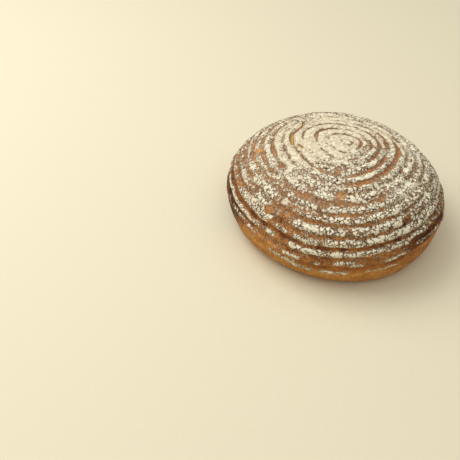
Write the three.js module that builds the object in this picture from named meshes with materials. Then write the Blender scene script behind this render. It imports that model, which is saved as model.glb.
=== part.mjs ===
// A round potato bread loaf, proofed in a coiled cane basket and baked as one piece.
// Millimetres, +Z up. The origin is at the middle of the flat base, and the front faces -Y.
import * as THREE from "three";

// Driving dimensions
const EQUATOR_RADIUS = 110; // mean radius at the widest level
const HEIGHT = 93; // flat base to the top of the dome
const EQUATOR_LEVEL = 26.5; // height of the widest level
const BASE_RADIUS = 92; // flat base

// How the loaf strays from a true round
const OVAL = 0.049; // share of the radius, along the long axis
const OVAL_TURN = THREE.MathUtils.degToRad(-69.5); // the long axis
const THREE_SIDED = 0.0067; // share of the radius, towards three soft corners
const THREE_SIDED_TURN = THREE.MathUtils.degToRad(-21);
const TOP_LEAN = new THREE.Vector2(8, -10); // the top of the dome, off the middle
const BASE_LEAN = new THREE.Vector2(1.9, -1); // the base edge, off the middle
const SLOPE = new THREE.Vector2(0.004, -0.052); // share of the height gained towards +X and +Y

// The basket's print: one spiral coil, counted along the surface from the top
const COIL_PITCH = 10.4;
const COIL_DEPTH = 1.1; // groove to ridge
const COIL_START = 15; // no print on the smooth top
const COIL_END = 148; // nor on the band that tucks under
const COIL_FADE = 15;

// Facets
const AROUND = 60;
const ALONG = 84;

// Half of the loaf's outline, from the base edge up to the top of the dome: two quarter ellipses
function loafOutline() {
  const tuckWidth = EQUATOR_RADIUS - BASE_RADIUS;
  const domeHeight = HEIGHT - EQUATOR_LEVEL;
  const quarter = Math.PI / 2;
  const tuck = new THREE.EllipseCurve(BASE_RADIUS, EQUATOR_LEVEL, tuckWidth, EQUATOR_LEVEL, -quarter, 0);
  const dome = new THREE.EllipseCurve(0, EQUATOR_LEVEL, EQUATOR_RADIUS, domeHeight, 0, quarter);
  const outline = new THREE.CurvePath();
  outline.add(tuck);
  outline.add(dome);
  return outline;
}

// Height of the coil's print above the plain surface, at a distance from the top along the surface
function coilRelief(fromTop, angle) {
  const turns = fromTop / COIL_PITCH - angle / (2 * Math.PI);
  const fadeIn = THREE.MathUtils.smoothstep(fromTop, COIL_START, COIL_START + COIL_FADE);
  const fadeOut = 1 - THREE.MathUtils.smoothstep(fromTop, COIL_END - COIL_FADE, COIL_END);
  return (COIL_DEPTH / 2) * Math.cos(turns * 2 * Math.PI) * fadeIn * fadeOut;
}

// Moves a point of the true round loaf to its place on the real, uneven one
function unevenLoaf(point) {
  const angle = Math.atan2(point.y, point.x);
  const share = Math.hypot(point.x, point.y) / EQUATOR_RADIUS;
  const oval = OVAL * Math.cos(2 * (angle - OVAL_TURN));
  const corners = THREE_SIDED * Math.cos(3 * (angle - THREE_SIDED_TURN));
  const leanUp = Math.max(0, (point.z - EQUATOR_LEVEL) / (HEIGHT - EQUATOR_LEVEL));
  const leanDown = Math.max(0, 1 - point.z / EQUATOR_LEVEL);
  const slope = SLOPE.x * Math.cos(angle) + SLOPE.y * Math.sin(angle);
  point.x = point.x * (1 + oval + corners) + TOP_LEAN.x * leanUp + BASE_LEAN.x * leanDown;
  point.y = point.y * (1 + oval + corners) + TOP_LEAN.y * leanUp + BASE_LEAN.y * leanDown;
  point.z *= 1 + slope * share;
}

// The outline turned about +Z, with the coil's print and the unevenness worked into its points
function loafGeometry() {
  const outline = loafOutline();
  const side = outline.getSpacedPoints(ALONG);
  const sideLength = outline.getLength();
  const profile = [new THREE.Vector2(0, 0), ...side];
  profile[1].y = 0;
  profile[profile.length - 1].x = 0;
  const geometry = new THREE.LatheGeometry(profile, AROUND);
  geometry.rotateX(Math.PI / 2);
  geometry.deleteAttribute("uv");

  const position = geometry.getAttribute("position");
  const normal = geometry.getAttribute("normal").clone();
  const point = new THREE.Vector3();
  const outward = new THREE.Vector3();
  for (let i = 0; i < position.count; i += 1) {
    const step = i % profile.length;
    point.fromBufferAttribute(position, i);
    outward.fromBufferAttribute(normal, i);
    if (step > 1 && step < profile.length - 1) {
      const fromTop = sideLength * (1 - (step - 1) / ALONG);
      point.addScaledVector(outward, coilRelief(fromTop, Math.atan2(point.y, point.x)));
    }
    unevenLoaf(point);
    position.setXYZ(i, point.x, point.y, point.z);
  }
  geometry.computeBoundingBox();
  const middle = geometry.boundingBox.getCenter(new THREE.Vector3());
  geometry.translate(-middle.x, -middle.y, -geometry.boundingBox.min.z);
  geometry.computeVertexNormals();
  return geometry;
}

const crust = new THREE.MeshStandardMaterial({ color: 0xb08a5e, roughness: 0.8, metalness: 0 });
const loaf = new THREE.Mesh(loafGeometry(), crust);
loaf.name = "loaf";

const part = new THREE.Group();
part.add(loaf);

export default part;
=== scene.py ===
"""A round, basket-proofed potato bread loaf with a floured crust, on a plain pale floor."""

import math

import bpy
import numpy as np
from mathutils import Matrix, Vector


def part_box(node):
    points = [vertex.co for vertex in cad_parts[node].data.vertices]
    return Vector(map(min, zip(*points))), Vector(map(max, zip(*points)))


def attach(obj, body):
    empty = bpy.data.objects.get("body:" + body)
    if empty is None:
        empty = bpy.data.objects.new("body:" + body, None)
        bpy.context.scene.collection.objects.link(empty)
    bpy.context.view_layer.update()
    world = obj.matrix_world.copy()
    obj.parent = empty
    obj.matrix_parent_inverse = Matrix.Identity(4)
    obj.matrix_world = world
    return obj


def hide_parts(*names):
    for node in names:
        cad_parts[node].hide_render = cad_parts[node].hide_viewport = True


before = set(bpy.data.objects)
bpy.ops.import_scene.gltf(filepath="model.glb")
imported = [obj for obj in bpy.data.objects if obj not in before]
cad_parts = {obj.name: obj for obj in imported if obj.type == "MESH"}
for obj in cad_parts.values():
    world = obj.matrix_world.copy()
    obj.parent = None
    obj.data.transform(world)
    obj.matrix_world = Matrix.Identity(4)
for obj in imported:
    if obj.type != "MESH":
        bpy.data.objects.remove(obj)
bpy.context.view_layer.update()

LOW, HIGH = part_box("loaf")
MM = 0.001

# The loaf's outline, two quarter ellipses turned about +Z, in shares of the CAD loaf's height
HEIGHT = HIGH.z - LOW.z
RADIUS = 1.183 * HEIGHT
EQUATOR_LEVEL = 0.285 * HEIGHT
BASE_RADIUS = 0.989 * HEIGHT

# How the loaf strays from a true round: oval and three-sided shares with their turns, how far its
# top and its base lean in X and Y, and the rise of its height across X and Y
OVAL = 0.049
OVAL_TURN = math.radians(-69.5)
THREE_SIDED = 0.0067
THREE_SIDED_TURN = math.radians(-21)
TOP_LEAN = (8 * MM, -10 * MM)
BASE_LEAN = (1.9 * MM, -1 * MM)
SLOPE = (0.004, -0.052)

# The basket's coil, in radii of the loaf: its pitch, its first ring, and how far the rings wander
# from level ones, as pairs of cosine and sine shares for one, two and three turns round the loaf
COIL_PITCH = 0.0942
COIL_FIRST = 0.09
COIL_WANDER = ((-0.0526, 0.0218), (0.001, -0.0058), (0.0171, 0.0198))

# The coil levels over which the rings' print fades out towards the pale band
PRINT_FADE = (1.22, 1.34)

# The spacing of the mesh's points, on the crust and on the base
SPACING = 0.95 * MM
BASE_SPACING = 3 * MM

# Camera: how far it looks down, its lens, and the rest in radii of the loaf
CAMERA_TILT = math.radians(43.5)
CAMERA_DISTANCE = 5.793
AIM_LEFT = 0.936
AIM_DOWN = 0.203
LENS_MM = 46.96

# The studio's sky: its colours at the horizon, a little above it, and overhead
SKY = (
    (0.00, (0.49, 0.45, 0.34, 1)),
    (0.30, (0.26, 0.24, 0.20, 1)),
    (0.90, (0.82, 0.81, 0.77, 1)),
)

# Square lights: name, place and side in metres, and watts
LIGHTS = (
    ("overhead", (-0.80, 0.35, 1.10), 1.1, 12.5),
    ("front", (-0.30, -1.00, 1.20), 1.0, 2),
)
LIGHT_COLOUR = (1.0, 0.98, 0.94)

# Half the floor's side, in metres
FLOOR_HALF = 12

# Colours of the crust, from golden to the darkest brown, and of what lies on it and in it
CRUST_COLOURS = (
    (0.00, (0.640, 0.330, 0.080, 1)),
    (0.25, (0.445, 0.174, 0.034, 1)),
    (0.50, (0.345, 0.117, 0.026, 1)),
    (0.75, (0.175, 0.055, 0.012, 1)),
    (1.00, (0.040, 0.009, 0.002, 1)),
)
THIN_FLOUR = (0.47, 0.35, 0.21, 1)
THICK_FLOUR = (0.92, 0.86, 0.68, 1)
FLOUR_VEIL = (0.60, 0.43, 0.28, 1)
FLOUR_SPECK = (0.72, 0.58, 0.40, 1)
SPLIT_CRUMB = (0.55, 0.36, 0.11, 1)
# The near-black of the pits' painted shade
PIT_SHADE = (0.07, 0.030, 0.010, 1)
FLOOR_COLOURS = ((0.76, 0.70, 0.52, 1), (0.79, 0.73, 0.55, 1))


# ---------------------------------------------------------------- noise


def lattice(cells, seed):
    """A repeatable number from 0 to 1 for each whole-number cell, from an integer hash."""
    x, y, z = (cells[:, axis].astype(np.uint32) for axis in range(3))
    mixed = x * np.uint32(374761393) + y * np.uint32(668265263) + z * np.uint32(3266489917)
    mixed = mixed + np.uint32(seed * 97531 + 12345)
    mixed = (mixed ^ (mixed >> 15)) * np.uint32(2246822519)
    mixed = (mixed ^ (mixed >> 13)) * np.uint32(3266489917)
    return (mixed ^ (mixed >> 16)) / 2.0**32


def noise(points, size, seed):
    """Smooth noise from -1 to 1 with bumps about size across."""
    scaled = points / size
    low = np.floor(scaled).astype(np.int64)
    part = scaled - low
    part = part * part * (3 - 2 * part)
    total = np.zeros(len(points))
    for corner in np.ndindex(2, 2, 2):
        weight = np.prod(np.where(corner, part, 1 - part), axis=1)
        total += weight * lattice(low + np.array(corner), seed)
    return total * 2 - 1


def fractal(points, size, seed, octaves=3):
    """Noise summed over ever smaller bumps."""
    return sum(noise(points, size / 2**k, seed + k) / 2**k for k in range(octaves))


def scatter(points, size, seed):
    """Distances to the nearest and next of scattered seeds, in sizes, and the nearest's own number."""
    scaled = points / size
    home = np.floor(scaled).astype(np.int64)
    first = np.full(len(points), 9.0)
    second = np.full(len(points), 9.0)
    number = np.zeros(len(points))
    for step in np.ndindex(3, 3, 3):
        cell = home + np.array(step) - 1
        place = cell + np.stack([lattice(cell, seed + axis) for axis in range(3)], axis=1)
        away = np.linalg.norm(scaled - place, axis=1)
        nearer = away < first
        second = np.where(nearer, first, np.minimum(second, away))
        number = np.where(nearer, lattice(cell, seed + 3), number)
        first = np.where(nearer, away, first)
    return first, second, number


def smooth(value, low, high):
    """0 below low, 1 above high, and an even rise between them."""
    share = np.clip((value - low) / (high - low), 0, 1)
    return share * share * (3 - 2 * share)


# ---------------------------------------------------------------- shape


def outline_table(count=3000):
    """Lengths along the outline from the top, with the radius and the height there."""
    quarter = np.linspace(0, math.pi / 2, count)
    dome_radius = RADIUS * np.sin(quarter)
    dome_height = EQUATOR_LEVEL + (HEIGHT - EQUATOR_LEVEL) * np.cos(quarter)
    tuck_radius = BASE_RADIUS + (RADIUS - BASE_RADIUS) * np.cos(quarter[1:])
    tuck_height = EQUATOR_LEVEL * (1 - np.sin(quarter[1:]))
    radius = np.concatenate([dome_radius, tuck_radius])
    height = np.concatenate([dome_height, tuck_height])
    steps = np.hypot(np.diff(radius), np.diff(height))
    return np.concatenate([[0], np.cumsum(steps)]), radius, height


OUTLINE_ALONG, OUTLINE_RADIUS, OUTLINE_HEIGHT = outline_table()
OUTLINE_LENGTH = OUTLINE_ALONG[-1]


def place_on_loaf(angle, radius, height):
    """A point of the true round loaf, moved to its place on the real, uneven one."""
    size = 1 + OVAL * np.cos(2 * (angle - OVAL_TURN))
    size = size + THREE_SIDED * np.cos(3 * (angle - THREE_SIDED_TURN))
    up = np.clip((height - EQUATOR_LEVEL) / (HEIGHT - EQUATOR_LEVEL), 0, None)
    down = np.clip(1 - height / EQUATOR_LEVEL, 0, None)
    x = radius * np.cos(angle) * size + TOP_LEAN[0] * up + BASE_LEAN[0] * down
    y = radius * np.sin(angle) * size + TOP_LEAN[1] * up + BASE_LEAN[1] * down
    slope = SLOPE[0] * np.cos(angle) + SLOPE[1] * np.sin(angle)
    return np.stack([x, y, height * (1 + slope * radius / RADIUS)], axis=1)


def skin(angle, along):
    """The plain skin's points, at an angle round the loaf and a length from its top."""
    radius = np.interp(along, OUTLINE_ALONG, OUTLINE_RADIUS)
    height = np.interp(along, OUTLINE_ALONG, OUTLINE_HEIGHT)
    return place_on_loaf(angle, radius, height)


def skin_normals(angle, along):
    """The plain skin's outward directions."""
    turn = 0.01
    step = 0.5 * MM
    inside = np.maximum(along, 2 * step)
    around = skin(angle + turn, inside) - skin(angle - turn, inside)
    downward = skin(angle, inside + step) - skin(angle, inside - step)
    normals = np.cross(downward, around)
    return normals / np.linalg.norm(normals, axis=1, keepdims=True)


def coil_level(angle, along):
    """Length from the top in radii, with the rings' wander taken out, so that each ring is level."""
    level = along / RADIUS
    wander = 0
    for turns, (even, odd) in enumerate(COIL_WANDER, start=1):
        wander = wander + even * np.cos(turns * angle) + odd * np.sin(turns * angle)
    fully_wandered = 0.4
    return level - wander * np.clip(level / fully_wandered, 0, 1)


def coil_wave(level):
    """1 on the tops of the coil's rings, and -1 in the gaps between them."""
    return np.cos((level - COIL_FIRST) / COIL_PITCH * 2 * math.pi)


def skin_point(bearing, level):
    """The skin's point at a bearing in degrees and a coil level."""
    angle = np.array([math.radians(bearing)])
    along = np.array([level * RADIUS])
    for _ in range(4):
        along = along + (level - coil_level(angle, along)) * RADIUS
    return skin(angle, along)[0]


# ---------------------------------------------------------------- flour

# Arcs of bare crust (-) and then of flour (+) that follow the coil: coil level, start and end
# bearing in degrees (-90 is the front), half width in radii, and change in cover
ARCS = (
    (0.045, -100, 40, 0.012, -0.55),
    (0.135, -52, 5, 0.010, -0.40),
    (0.19, -48, 25, 0.018, -0.38),
    (0.31, -60, 12, 0.018, -0.42),
    (0.31, -118, -80, 0.020, -0.21),
    (0.38, -112, -103, 0.030, -0.42),
    (0.42, -70, -27, 0.022, -0.77),
    (0.42, -100, -75, 0.020, -0.26),
    (0.385, -14, 12, 0.020, -0.59),
    (0.51, -97, 12, 0.026, -0.85),
    (0.57, 10, 24, 0.028, -0.68),
    (0.60, -62, 0, 0.015, -0.30),
    (0.61, -104, -97, 0.040, -0.42),
    (0.69, -146, -88, 0.028, -0.30),
    (0.70, -76, -66, 0.016, -0.51),
    (0.69, -38, -10, 0.028, -0.51),
    (0.78, -33, -8, 0.022, -0.59),
    (0.79, -104, -72, 0.016, -0.34),
    (0.88, -140, -60, 0.016, -0.30),
    (0.88, -60, -40, 0.016, -0.64),
    (0.90, -35, -15, 0.014, -0.51),
    (0.95, -64, -58, 0.030, -0.51),
    (0.955, -50, -44, 0.025, -0.59),
    (0.985, -130, -62, 0.018, -0.18),
    (1.075, -180, -38, 0.018, -0.30),
    (1.17, -62, -30, 0.050, -0.50),
    (0.465, -96, -20, 0.024, 0.78),
    (0.465, -132, -104, 0.026, 0.64),
    (0.56, -135, -110, 0.029, 0.84),
    (0.56, -97, -70, 0.022, 0.57),
    (0.645, -97, -75, 0.031, 0.91),
    (0.63, -118, -105, 0.036, 0.78),
    (0.66, -145, -125, 0.029, 0.71),
    (0.745, -105, -62, 0.029, 1.11),
    (0.755, -127, -114, 0.019, 0.57),
    (0.835, -107, -101, 0.031, 1.11),
    (0.835, -100, -60, 0.031, 0.98),
    (0.84, -124, -108, 0.014, 0.78),
    (0.83, -180, -171, 0.024, 0.98),
    (0.845, -165, -153, 0.030, 0.95),
    (0.845, -150, -141, 0.030, 1.05),
    (0.935, -121, -63, 0.036, 0.91),
    (0.94, -152, -142, 0.034, 0.95),
    (0.94, -178, -168, 0.030, 0.95),
    (1.03, -104, -40, 0.034, 0.91),
    (1.045, -118, -106, 0.029, 0.91),
    (1.035, -130, -122, 0.017, 0.71),
    (1.02, -166, -134, 0.038, 0.71),
    (1.125, -119, -63, 0.026, 1.11),
    (1.12, -175, -139, 0.020, 1.05),
    (1.115, -138, -126, 0.014, 0.60),
    (1.11, -62, -48, 0.014, 0.78),
    (1.19, -163, -137, 0.011, 0.85),
    (1.22, -120, -112, 0.015, 1.20),
    (1.23, -105, -102, 0.024, 1.05),
    (1.21, -97, -88, 0.018, 1.15),
    (1.24, -89, -84, 0.024, 1.15),
    (1.24, -73, -64, 0.027, 1.30),
    (1.285, -128, -114, 0.016, 1.05),
    (1.315, -116, -105, 0.021, 1.15),
    (1.32, -102, -88, 0.020, 1.10),
    (1.33, -82, -66, 0.013, 0.95),
    (1.25, -160, -138, 0.009, 0.70),
    (1.205, -58, -40, 0.011, 1.00),
)

# The blister whose flour isn't cracked: bearing and coil level, radius in millimetres, and height
WHOLE_BLISTER = (-132.5, 0.825)
WHOLE_BLISTER_RADIUS = 3.6
WHOLE_BLISTER_HEIGHT = 0.8 * MM

# Round patches: bearing, coil level, radius in millimetres, and change in cover. The whole
# blister's flour comes with the four small patches of its broken rim
PATCHES = (
    (-50, 0.70, 12, 0.45),
    (*WHOLE_BLISTER, 3.3, 1.60),
    (-134.3, 0.765, 1.5, 0.60),
    (-131.7, 0.748, 1.9, 0.70),
    (-128.6, 0.752, 1.9, 0.70),
    (-127.2, 0.785, 1.9, 0.60),
    (-170, 0.57, 6, 0.40),
    (-171, 0.66, 6, 0.40),
    (-153, 0.58, 4, 0.40),
    (-161, 0.61, 3, -0.60),
    (-178, 0.17, 1.2, -0.90),
    (-129, 0.245, 1.5, -0.90),
)

# Bare golden blisters: bearing, coil level and radius in millimetres, and how much flour and tone
# each of them loses
BLISTERS = ((-139, 0.965, 4), (171, 0.755, 5))
BLISTER_FLOUR = 0.75
BLISTER_TONE = 0.22

# Splits in the crust at the back left: bearing, coil level and half width in millimetres of the
# points that each runs through
SPLITS = (
    (
        (122, 0.480, 0.8),
        (130, 0.425, 1.2),
        (137, 0.385, 1.4),
        (145, 0.400, 1.6),
        (149, 0.437, 1.8),
        (160, 0.428, 2.2),
        (171, 0.431, 1.2),
    ),
    ((174, 0.380, 0.8), (180, 0.372, 1.5), (185, 0.369, 0.8)),
)
SPLIT_DEPTH = 1.8 * MM

# The lip at the front right, where dark crust overhangs the pale band: its bearings and how soft
# its ends are in degrees, and the coil levels over which it swells out and drops back
LIP = (-63, -28)
LIP_SOFT = 4
LIP_SWELL = (1.07, 1.13)
LIP_EDGE = (1.238, 1.252)
LIP_HEIGHT = 0.9 * MM

# Where the crust is baked darker, and low at the left also painted shadow: start and end bearing and
# how soft those ends are in degrees, the coil levels over which it darkens, and the change in tone
DARKER = (
    # Low at the left: darker baking and painted shadow
    (-196, -150, 26, (1.06, 1.16), 0.52),
    (-66, -15, 12, (0.70, 0.90), 0.16),
    (*LIP, LIP_SOFT, (1.06, 1.14), 0.12),
)

# The coil level of the darkest gap between the rings
DARK_GAP = 1.075


def window(degrees, start, end, soft=2.5):
    """1 between two bearings, falling to 0 over soft degrees at each."""
    middle = (start + end) / 2
    half = (end - start) / 2
    off = np.abs((degrees - middle + 180) % 360 - 180)
    return 1 - smooth(off, half - soft / 2, half + soft / 2)


def round_spot(points, bearing, level, radius, core=0.7):
    """1 in the core of a round spot with a radius in millimetres, falling to 0 past its rim."""
    away = np.linalg.norm(points - skin_point(bearing, level), axis=1) / (radius * MM)
    return 1 - smooth(away, core, 1.2)


def plain_cover(degrees, level):
    """Flour cover before the arcs and patches: whole on top, and thin low down."""
    levels = (0.22, 0.36, 0.50, 0.70, 0.90, 1.05, 1.20, 1.30)
    front = np.interp(level, levels, (1.30, 1.12, 0.93, 0.70, 0.43, 0.30, 0.20, 0.00))
    left = np.interp(level, levels, (1.30, 1.30, 1.15, 0.84, 0.66, 0.28, 0.06, 0.00))
    right = np.interp(level, levels, (1.20, 1.05, 1.10, 1.25, 1.20, 0.88, 0.30, 0.00))
    back = np.interp(level, levels, (1.25, 1.20, 1.10, 0.95, 0.75, 0.50, 0.25, 0.00))
    sides = (
        (left, window(degrees, -185, -138, 24)),
        (front, window(degrees, -138, -62, 24)),
        (right, window(degrees, -62, 35, 24)),
        (back, window(degrees, 35, 175, 24)),
    )
    return sum(value * weight for value, weight in sides) / sum(weight for _, weight in sides)


def far_rings(degrees, level, points):
    """More flour on the rings and less between them, round the right, the back and the far left."""
    low_side = window(degrees, -38, 168, 10) * smooth(level, 0.9, 1.0)
    side = np.maximum(window(degrees, 30, 200, 20), low_side)
    strength = np.clip(0.6 + 0.7 * noise(points * [1, 1, 3], 40 * MM, 301), 0, 1)
    rise = smooth(level, 0.25, 0.6) * (1 - smooth(level, 1.22, 1.32))
    return side * rise * strength * coil_wave(level) * (0.42 + 0.23 * smooth(level, 0.75, 1.1))


def cap_grooves(degrees, level, points):
    """Thin lines between the coil's turns on top, deepest at the right."""
    valley = smooth(-coil_wave(level), 0.35, 0.95)
    broken = np.clip(0.55 + 0.9 * noise(points, 9 * MM, 311), 0, 1)
    depth = 0.64 + 0.32 * window(degrees, -65, 40, 30)
    reach = 0.45 + 0.25 * window(degrees, 120, 200, 30)
    hairline = 0.34 * smooth(valley, 0.75, 1.0) * (noise(points, 6 * MM, 313) > -0.15)
    shown = (0.4 + 0.6 * smooth(level, 0.06, 0.12)) * (1 - smooth(level, reach, reach + 0.15))
    return (depth * valley + hairline) * broken * shown


def flour_cover(angle, along, points):
    """The share of the crust that flour covers, at each point."""
    degrees = np.degrees(angle) + 2.0 * noise(points, 14 * MM, 11)
    level = coil_level(angle, along)
    level = level + 0.008 * noise(points, 16 * MM, 21) + 0.006 * noise(points, 5 * MM, 22)
    cover = plain_cover(degrees, level) + far_rings(degrees, level, points)
    cover = cover - cap_grooves(degrees, level, points)
    for middle, start, end, half_width, change in ARCS:
        across = 1 - smooth(np.abs(level - middle), half_width * 0.6, half_width * 1.35)
        cover = cover + change * across * window(degrees, start, end)
    for *place, change in PATCHES:
        cover = cover + change * round_spot(points, *place)
    for blister in BLISTERS:
        cover = cover - BLISTER_FLOUR * round_spot(points, *blister)
    return np.clip(cover, 0, 1.3)


def clumped(cover, level, points):
    """Cover gathered into clumps of a few millimetres."""
    ringwise = np.column_stack([points[:, :2], 1.5 * RADIUS * level])
    _, _, number = scatter(ringwise + 0.8 * MM * noise(points, 3 * MM, 75)[:, None], 3.8 * MM, 83)
    clumps = 0.44 * (number - 0.5) + 0.14 * noise(ringwise, 7 * MM, 91)
    return cover + clumps * smooth(1.3 - cover, 0, 0.5) * smooth(cover, 0, 0.35)


def crazing(angle, level, points):
    """How broken the coat of flour is: least on top and on the whole blister, most at the front."""
    degrees = np.degrees(angle)
    front = window(degrees, -138, -18, 34)
    broken = front * smooth(level, 0.15, 0.45) + 0.8 * (1 - front) * smooth(level, 0.45, 0.85)
    share = 0.29 + 0.53 * broken + 0.20 * window(degrees, -100, -28, 34)
    share = share * (1 - 0.85 * round_spot(points, *WHOLE_BLISTER, WHOLE_BLISTER_RADIUS))
    return share * (1 - 0.4 * smooth(level, 1.14, 1.32))


def crust_tone(angle, along, points):
    """How dark the bare crust is baked, with painted shadow low at the left: 0 is golden, and 1 the
    darkest brown.
    """
    degrees = np.degrees(angle)
    level = coil_level(angle, along)
    tone = 0.48 - 0.06 * smooth(level, 1.0, 1.15) + 0.12 * gap_dust(level)
    tone = tone + 0.14 * fractal(points, 24 * MM, 111) + 0.16 * fractal(points, 5 * MM, 121)
    valley = smooth(-coil_wave(level), -0.2, 0.8)
    tone = tone + (0.10 + 0.08 * valley) * smooth(level, 0.75, 0.95)
    for start, end, soft, levels, change in DARKER:
        tone = tone + change * window(degrees, start, end, soft) * smooth(level, *levels)
    tone = tone + 0.10 * (1 - smooth(np.abs(level - DARK_GAP), 0.01, 0.04))
    for blister in BLISTERS:
        tone = tone - BLISTER_TONE * round_spot(points, *blister, core=0.6)
    golden = golden_band(degrees, level, points)
    pale = 0.21 + 0.4 * (tone - 0.60) + 0.08 * noise(points, 7 * MM, 141)
    return np.clip(tone * (1 - golden) + pale * golden, 0, 1)


def golden_band(degrees, level, points):
    """1 on the pale band above the base, which starts higher at the front than round the back."""
    front = window(degrees, -190, -20, 20)
    lip = window(degrees, *LIP, LIP_SOFT)
    start = 1.30 + 0.03 * noise(points, 30 * MM, 131) * (1 - front) - 0.04 * front
    start = start - 0.09 * window(degrees, -150, -112, 12) - 0.02 * lip
    golden = smooth(level, start, start + 0.14 - 0.04 * front - 0.07 * lip)
    # Painted shadow low at the left, together with darker baking, keeps most of the pale band from
    # showing there
    return golden * (1 - 0.75 * window(degrees, -188, -158, 20))


def gap_dust(level):
    """How much fine flour has settled even in the gaps between the rings: most on top."""
    return 1 - smooth(level, 0.45, 1.15)


def split_share(points):
    """1 along the middles of the splits in the crust, falling to 0 at their lips."""
    nearest = np.full(len(points), 9.0)
    for split in SPLITS:
        line = [skin_point(bearing, level) for bearing, level, _ in split]
        widths = [width * MM for _, _, width in split]
        for start, end, first, last in zip(line[:-1], line[1:], widths[:-1], widths[1:]):
            run = end - start
            share = np.clip((points - start) @ run / (run @ run), 0, 1)
            away = np.linalg.norm(points - start - share[:, None] * run, axis=1)
            nearest = np.minimum(nearest, away / (first + (last - first) * share))
    return 1 - smooth(nearest, 0.35, 1.1)


# ---------------------------------------------------------------- relief

RING_HEIGHT = 0.95 * MM
FLOUR_HEIGHT = 0.50 * MM
SWELL_HEIGHT = 0.9 * MM
BUMP_HEIGHT = 0.30 * MM
CRACK_DEPTH = 0.30 * MM
SMALL_BLISTER_HEIGHT = 0.35 * MM


def relief(angle, along, points, flour, split):
    """How far the crust stands out from the plain skin, in metres."""
    level = coil_level(angle, along)
    printed = 0.85 + 0.15 * smooth(level, 0.25, 0.5)
    printed = printed * smooth(level, 0.06, 0.15) * (1 - smooth(level, *PRINT_FADE))
    out = RING_HEIGHT * coil_wave(level) * printed
    out = out + FLOUR_HEIGHT * smooth(flour, 0.2, 0.9)
    out = out + SWELL_HEIGHT * fractal(points, 42 * MM, 31)
    out = out + BUMP_HEIGHT * fractal(points, 9 * MM, 41) * (1 - 0.6 * smooth(level, *PRINT_FADE))
    first, second, _ = scatter(points, 5.5 * MM, 51)
    crack = 1 - smooth(second - first, 0.03, 0.20)
    out = out - CRACK_DEPTH * crack * smooth(flour, 0.4, 0.8)
    blister, _, size = scatter(points, 7 * MM, 61)
    out = out + SMALL_BLISTER_HEIGHT * smooth(0.42 - blister, 0, 0.3) * smooth(size, 0.55, 0.9)
    lip = smooth(level, *LIP_SWELL) - smooth(level, *LIP_EDGE)
    out = out + LIP_HEIGHT * lip * window(np.degrees(angle), *LIP, LIP_SOFT)
    out = out + WHOLE_BLISTER_HEIGHT * round_spot(points, *WHOLE_BLISTER, WHOLE_BLISTER_RADIUS)
    return out - SPLIT_DEPTH * split


# ---------------------------------------------------------------- mesh

BASE_HOLLOW = 0.4 * MM

# The looks of the base: bare, golden-brown crust
BASE_LOOKS = {"flour": 0.05, "crazing": 0.5, "tone": 0.35, "dust": 0.0, "split": 0.0}


def strip(first, first_count, second, second_count):
    """Triangles between two rings of points, which may hold different numbers of points."""
    faces = []
    i = j = 0
    while i < first_count or j < second_count:
        here = first + i % first_count
        there = second + j % second_count
        second_lags = (j + 0.5) * first_count <= (i + 0.5) * second_count
        if i == first_count or (j < second_count and second_lags):
            j += 1
            if second_count > 1:
                faces.append((here, there, second + j % second_count))
        else:
            i += 1
            if first_count > 1:
                faces.append((here, there, first + i % first_count))
    return faces


def ring_size(around, spacing):
    """How many points a ring of a length holds."""
    return max(6, round(around / spacing))


def ring_angles(count):
    """The angles of a ring's points, evenly apart."""
    return -math.pi + 2 * math.pi * np.arange(count) / count


def dome_rings():
    """The lengths from the top of the dome's rings of points, and the number of points in each."""
    lengths = np.linspace(0, OUTLINE_LENGTH, round(OUTLINE_LENGTH / SPACING) + 1)
    around = 2 * math.pi * np.interp(lengths, OUTLINE_ALONG, OUTLINE_RADIUS)
    counts = [1] + [ring_size(length, SPACING) for length in around[1:]]
    return lengths, np.array(counts)


def base_rings(edge):
    """Rings of points that close the base inwards from its edge, slightly hollowed."""
    middle = edge.mean(axis=0)
    steps = round(BASE_RADIUS / BASE_SPACING)
    for step in range(1, steps + 1):
        share = 1 - step / steps
        count = ring_size(2 * math.pi * BASE_RADIUS * share, BASE_SPACING) if step < steps else 1
        picked = (np.arange(count) * len(edge) / count).astype(int)
        ring = middle + (edge[picked] - middle) * share
        ring[:, 2] = BASE_HOLLOW * smooth(1 - share, 0, 0.15) * (1 + 0.6 * noise(ring, 11 * MM, 71))
        yield ring


def bake_map(angle, along, points):
    """The OFBake map: the dome as one disc and the base as another, in opposite corners."""
    dome_middle = 0.45
    dome_half = 0.44
    base_middle = 0.90
    base_half = 0.09
    uv = base_middle + base_half * points[:, :2] / (1.15 * BASE_RADIUS)
    reach = dome_half * along / OUTLINE_LENGTH
    uv[: len(angle), 0] = dome_middle + reach * np.cos(angle)
    uv[: len(angle), 1] = dome_middle + reach * np.sin(angle)
    return uv


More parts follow.
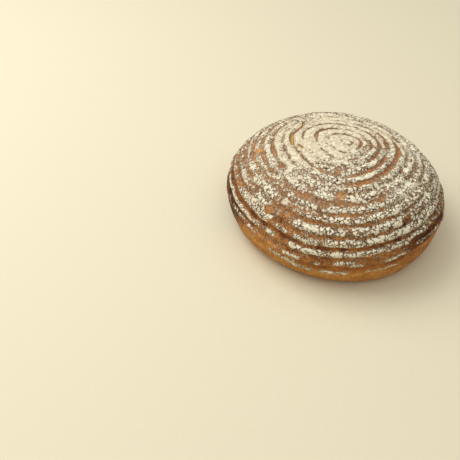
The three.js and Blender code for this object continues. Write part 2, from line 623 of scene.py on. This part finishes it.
def build_loaf():
    """The loaf's mesh, with the flour's and crust's looks as attributes of its points."""
    lengths, counts = dome_rings()
    angle = np.concatenate([ring_angles(count) for count in counts])
    along = np.repeat(lengths, counts)
    plain = skin(angle, along)

    level = coil_level(angle, along)
    flour = clumped(flour_cover(angle, along, plain), level, plain)

    # A split holds no flour
    split = split_share(plain)
    flour = flour - 1.5 * smooth(split, 0.05, 0.3)

    # The relief fades out just above the base, so that the loaf stands on a clean edge
    above_base = smooth(plain[:, 2], 0, 7 * MM)
    out = relief(angle, along, plain, flour, split) * above_base
    points = plain + skin_normals(angle, along) * out[:, None]
    points[:, 2] = np.maximum(points[:, 2], 0)

    base = list(base_rings(points[-counts[-1] :]))
    rings = list(counts) + [len(ring) for ring in base]
    points = np.concatenate([points, *base])
    starts = np.concatenate([[0], np.cumsum(rings)])
    faces = []
    for ring in range(len(rings) - 1):
        faces += strip(starts[ring], rings[ring], starts[ring + 1], rings[ring + 1])

    looks = {
        "flour": flour,
        "crazing": crazing(angle, level, plain),
        "tone": crust_tone(angle, along, plain),
        "dust": gap_dust(level),
        "split": split,
    }
    added = len(points) - len(plain)
    looks = {
        name: np.concatenate([values, np.full(added, BASE_LOOKS[name])])
        for name, values in looks.items()
    }
    uv = bake_map(angle, along, points)
    points[:, :2] += centring()
    return points, np.array(faces), looks, uv


def centring():
    """The way from the outline's own middle to the middle of the loaf's box."""
    turns = np.repeat(ring_angles(360), 200)
    lengths = np.tile(np.linspace(0, OUTLINE_LENGTH, 200), 360)
    points = skin(turns, lengths)
    return -(points.min(axis=0) + points.max(axis=0))[:2] / 2


def make_object(name, points, faces, fields, uv):
    """A smooth mesh object from arrays of points and triangles."""
    mesh = bpy.data.meshes.new(name)
    mesh.vertices.add(len(points))
    mesh.vertices.foreach_set("co", points.astype(np.float32).ravel())
    mesh.loops.add(faces.size)
    mesh.loops.foreach_set("vertex_index", faces.astype(np.int32).ravel())
    mesh.polygons.add(len(faces))
    mesh.polygons.foreach_set("loop_start", np.arange(0, faces.size, 3, dtype=np.int32))
    mesh.update(calc_edges=True)
    mesh.shade_smooth()
    for field, values in fields.items():
        attribute = mesh.attributes.new(field, "FLOAT", "POINT")
        attribute.data.foreach_set("value", values.astype(np.float32))
    layer = mesh.uv_layers.new(name="OFBake")
    layer.uv.foreach_set("vector", uv[faces.ravel()].astype(np.float32).ravel())
    made = bpy.data.objects.new(name, mesh)
    bpy.context.scene.collection.objects.link(made)
    return made


# ---------------------------------------------------------------- materials


class Nodes:
    """Adds shader nodes to a new material and joins them."""

    def __init__(self, name):
        self.material = bpy.data.materials.new(name)
        self.material.use_nodes = True
        self.tree = self.material.node_tree
        self.shader = self.tree.nodes["Principled BSDF"]

    def add(self, kind, inputs=(), **settings):
        """A node of a kind, with its settings, and its inputs by name or number."""
        node = self.tree.nodes.new(kind)
        for setting, value in settings.items():
            setattr(node, setting, value)
        for key, value in dict(inputs).items():
            self.feed(node.inputs[key], value)
        return node

    def feed(self, socket, value):
        """Gives a socket a constant, or the output that feeds it."""
        if isinstance(value, bpy.types.NodeSocket):
            self.tree.links.new(value, socket)
        else:
            socket.default_value = value

    def attribute(self, name):
        """A number that the mesh's points carry."""
        return self.add("ShaderNodeAttribute", attribute_name=name).outputs["Fac"]

    def math(self, operation, first, second=0.0, third=0.0, clamp=False):
        """The outcome of an operation, kept from 0 to 1 when clamped."""
        inputs = {0: first, 1: second, 2: third}
        return self.add("ShaderNodeMath", inputs, operation=operation, use_clamp=clamp).outputs[0]

    def rise(self, value, low, high):
        """0 below low, 1 above high, and a smooth rise between them."""
        inputs = {"Value": value, "From Min": low, "From Max": high}
        return self.add("ShaderNodeMapRange", inputs, interpolation_type="SMOOTHSTEP").outputs[0]

    def noise(self, place, size, detail=2.0):
        """Noise from -0.5 to 0.5 with bumps about size across."""
        inputs = {"Vector": place, "Scale": 1 / size, "Detail": detail}
        found = self.add("ShaderNodeTexNoise", inputs).outputs["Fac"]
        return self.math("SUBTRACT", found, 0.5)

    def shift(self, place, size, reach):
        """A place moved a fixed step and up to reach either way, by noise with bumps of a size."""
        drift = self.add("ShaderNodeTexNoise", {"Vector": place, "Scale": 1 / size}).outputs["Color"]
        inputs = {0: drift, 1: (2 * reach,) * 3, 2: place}
        return self.add("ShaderNodeVectorMath", inputs, operation="MULTIPLY_ADD").outputs[0]

    def cell_edges(self, place, size):
        """The distance to the nearest edge between cells about size across, in sizes."""
        inputs = {"Vector": place, "Scale": 1 / size}
        node = self.add("ShaderNodeTexVoronoi", inputs, feature="DISTANCE_TO_EDGE")
        return node.outputs["Distance"]

    def mix(self, share, first, second):
        """A colour between two."""
        node = self.add("ShaderNodeMix", {"Factor": share, 6: first, 7: second}, data_type="RGBA")
        return node.outputs[2]

    def ramp(self, value, stops):
        """Colours along a value."""
        node = self.add("ShaderNodeValToRGB", {"Fac": value})
        elements = node.color_ramp.elements
        while len(elements) < len(stops):
            elements.new(0.5)
        for element, (position, colour) in zip(elements, stops):
            element.position = position
            element.color = colour
        return node.outputs["Color"]

    def bump(self, height, distance):
        """Surface directions bent by a height from 0 to 1, which stands for a distance."""
        return self.add("ShaderNodeBump", {"Height": height, "Distance": distance}).outputs["Normal"]


def crust_material():
    """Baked rye crust under a broken coat of proofing flour."""
    g = Nodes("floured_crust")
    place = g.add("ShaderNodeTexCoord").outputs["Object"]
    flour = g.attribute("flour")
    crazing = g.attribute("crazing")
    dust = g.attribute("dust")
    tone = g.attribute("tone")

    # The flour's level, which covers the crust above 0: flakes with ragged edges, parted by cracks
    flakes = g.noise(place, 3.3 * MM, detail=2)
    ragged = g.noise(place, 1.4 * MM, detail=1)
    edges = g.cell_edges(g.shift(place, 2.5 * MM, 1.7 * MM), 3.5 * MM)
    crack = g.math("SUBTRACT", 1.0, g.rise(edges, 0.02, 0.15))
    opened = g.rise(g.noise(place, 9 * MM, detail=1), -0.22, 0.0)
    crack = g.math("MULTIPLY", crack, g.math("MULTIPLY", opened, crazing))
    worn = g.math("MULTIPLY_ADD", crazing, 0.80, 0.30)
    level = g.math("SUBTRACT", flour, 0.5)
    level = g.math("MULTIPLY_ADD", g.math("MULTIPLY", flakes, worn), 2.3, level)
    level = g.math("MULTIPLY_ADD", g.math("MULTIPLY", ragged, worn), 1.0, level)
    level = g.math("MULTIPLY_ADD", crack, -1.40, level)

    # The flour's colour, by how thickly it has settled
    thickness = g.rise(level, -0.05, 0.65)
    settled = g.math("MULTIPLY_ADD", crazing, 0.80, 0.42)
    drift = g.math("MULTIPLY_ADD", g.noise(place, 2.2 * MM, detail=4), 2.4, settled, clamp=True)
    thickness = g.math("MULTIPLY", thickness, drift)
    flour_colour = g.mix(thickness, THIN_FLOUR, THICK_FLOUR)

    # The bare crust's shade: mottled and grainy, with painted shade darkening it in the flour's cracks
    # and beside the flour's edges
    mottle = g.noise(place, 7 * MM, detail=4)
    grain = g.noise(place, 2.0 * MM, detail=3)
    shade = g.math("MULTIPLY_ADD", mottle, 0.75, tone)
    shade = g.math("MULTIPLY_ADD", ragged, 0.60, shade)
    dusty = g.math("MULTIPLY_ADD", dust, 0.7, flour)
    rough = g.math("MULTIPLY", worn, g.rise(dusty, -0.5, 0.4))
    shade = g.math("MULTIPLY_ADD", g.math("MULTIPLY", grain, rough), 2.60, shade)
    # Painted shade in the flour's cracks: the crust there is drawn darker
    depth = g.math("MULTIPLY", crack, g.rise(flour, 0.3, 0.9))
    shade = g.math("MULTIPLY_ADD", depth, 0.52, shade)
    # Painted shade beside the flour's edges, and lighter crust further from them
    crevice_shade = g.math("SUBTRACT", g.rise(level, -0.80, -0.10), 0.40)
    crevice_shade = g.math("MULTIPLY", crevice_shade, g.rise(flour, 0.05, 0.60))
    shade = g.math("MULTIPLY_ADD", crevice_shade, 0.65, shade, clamp=True)
    crust = g.ramp(shade, CRUST_COLOURS)

    # Fine flour on the bare crust, as a thin veil and as specks
    veil = g.math("MULTIPLY_ADD", g.rise(flour, 0.1, 0.9), 0.16, 0.01)
    veil = g.math("MULTIPLY_ADD", dust, 0.17, veil)
    bare = g.mix(veil, crust, FLOUR_VEIL)
    specks = g.rise(g.noise(place, 2.0 * MM, detail=2), 0.06, 0.12)
    dusted = g.rise(crazing, 0.1, 0.6)
    # No specks in the cracks' painted shade
    dusted = g.math("MULTIPLY", dusted, g.math("SUBTRACT", 1.0, depth, clamp=True))
    dusted = g.math("MULTIPLY", dusted, g.rise(dusty, -0.10, 0.40))
    dusted = g.math("MULTIPLY", dusted, g.math("SUBTRACT", 1.2, tone, clamp=True))
    bare = g.mix(g.math("MULTIPLY", specks, dusted), bare, FLOUR_SPECK)
    bare = g.mix(g.rise(g.attribute("split"), 0.3, 0.8), bare, SPLIT_CRUMB)

    # Dark pits where the thick flour is most broken: sunken, and painted near-black as shade
    pits = g.rise(g.noise(place, 2.5 * MM, detail=1), 0.14, 0.20)
    pits = g.math("MULTIPLY", pits, g.rise(crazing, 0.2, 0.9))
    pits = g.math("MULTIPLY", pits, g.rise(flour, 0.45, 0.85))

    # All of the colours together
    cover = g.rise(level, -0.08, 0.12)
    colour = g.mix(cover, bare, flour_colour)
    # The pits' painted shade
    colour = g.mix(g.math("MULTIPLY", pits, 0.9), colour, PIT_SHADE)
    g.feed(g.shader.inputs["Base Color"], colour)

    # A dull sheen on the bare crust, and matt flour
    crust_roughness = g.math("MULTIPLY_ADD", g.noise(place, 5 * MM), 0.25, 0.58)
    to_matt = g.math("SUBTRACT", 0.95, crust_roughness)
    g.feed(g.shader.inputs["Roughness"], g.math("MULTIPLY_ADD", cover, to_matt, crust_roughness))
    g.feed(g.shader.inputs["Specular IOR Level"], 0.08)

    # Fine relief: flakes that stand proud, a grainy crust, and sunken pits
    height = g.math("MULTIPLY", g.rise(level, -0.20, 0.40), 0.60)
    height = g.math("MULTIPLY_ADD", ragged, 0.50, height)
    height = g.math("MULTIPLY_ADD", grain, 0.40, height)
    height = g.math("MULTIPLY_ADD", pits, -0.30, height)
    g.feed(g.shader.inputs["Normal"], g.bump(height, 1.4 * MM))
    return g.material


def floor_material():
    """A plain matt cream surface."""
    g = Nodes("pale_floor")
    place = g.add("ShaderNodeTexCoord").outputs["Object"]
    share = g.math("ADD", g.noise(place, 4 * MM, detail=3), 0.5)
    g.feed(g.shader.inputs["Base Color"], g.mix(share, *FLOOR_COLOURS))
    g.feed(g.shader.inputs["Roughness"], 0.7)
    return g.material


# ---------------------------------------------------------------- studio


def add_floor():
    """A wide, flat floor under the loaf."""
    corners = [(x * FLOOR_HALF, y * FLOOR_HALF, 0) for x, y in ((-1, -1), (1, -1), (1, 1), (-1, 1))]
    mesh = bpy.data.meshes.new("floor")
    mesh.from_pydata(corners, [], [(0, 1, 2, 3)])
    mesh.materials.append(floor_material())
    floor = bpy.data.objects.new("floor", mesh)
    bpy.context.scene.collection.objects.link(floor)


def add_light(name, place, size, watts):
    """A square soft light that faces the loaf."""
    data = bpy.data.lights.new(name, "AREA")
    data.size = size
    data.energy = watts
    data.color = LIGHT_COLOUR
    light = bpy.data.objects.new(name, data)
    light.location = place
    light.rotation_euler = (-Vector(place)).to_track_quat("-Z", "Y").to_euler()
    bpy.context.scene.collection.objects.link(light)


def add_studio():
    """Soft light from above at the left and from the front, under a pale sky."""
    world = bpy.data.worlds.new("studio")
    world.use_nodes = True
    tree = world.node_tree
    direction = tree.nodes.new("ShaderNodeTexCoord").outputs["Generated"]
    split = tree.nodes.new("ShaderNodeSeparateXYZ")
    sky = tree.nodes.new("ShaderNodeValToRGB")
    sky.color_ramp.interpolation = "EASE"
    sky.color_ramp.elements.new(0.5)
    for element, (height, colour) in zip(sky.color_ramp.elements, SKY):
        element.position = height
        element.color = colour
    tree.links.new(direction, split.inputs[0])
    tree.links.new(split.outputs["Z"], sky.inputs["Fac"])
    tree.links.new(sky.outputs["Color"], tree.nodes["Background"].inputs["Color"])
    bpy.context.scene.world = world
    for light in LIGHTS:
        add_light(*light)
    bpy.context.scene.view_settings.view_transform = "Standard"


def add_camera():
    """The camera, in front of the loaf and above it, with the loaf to the right of the view's middle."""
    data = bpy.data.cameras.new("camera")
    data.sensor_width = 36
    data.lens = LENS_MM
    right = Vector((1, 0, 0))
    up = Vector((0, math.sin(CAMERA_TILT), math.cos(CAMERA_TILT)))
    back = right.cross(up)
    place = RADIUS * (CAMERA_DISTANCE * back - AIM_LEFT * right - AIM_DOWN * up)
    place = place + Vector((*centring(), 0))
    turn = Matrix((right, up, back)).transposed().to_4x4()
    camera = bpy.data.objects.new("camera", data)
    camera.matrix_world = Matrix.Translation(place) @ turn
    bpy.context.scene.collection.objects.link(camera)
    bpy.context.scene.camera = camera


# ---------------------------------------------------------------- assembly

add_camera()
loaf = make_object("loaf_crust", *build_loaf())
loaf.data.materials.append(crust_material())
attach(loaf, "root")
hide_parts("loaf")
add_floor()
add_studio()
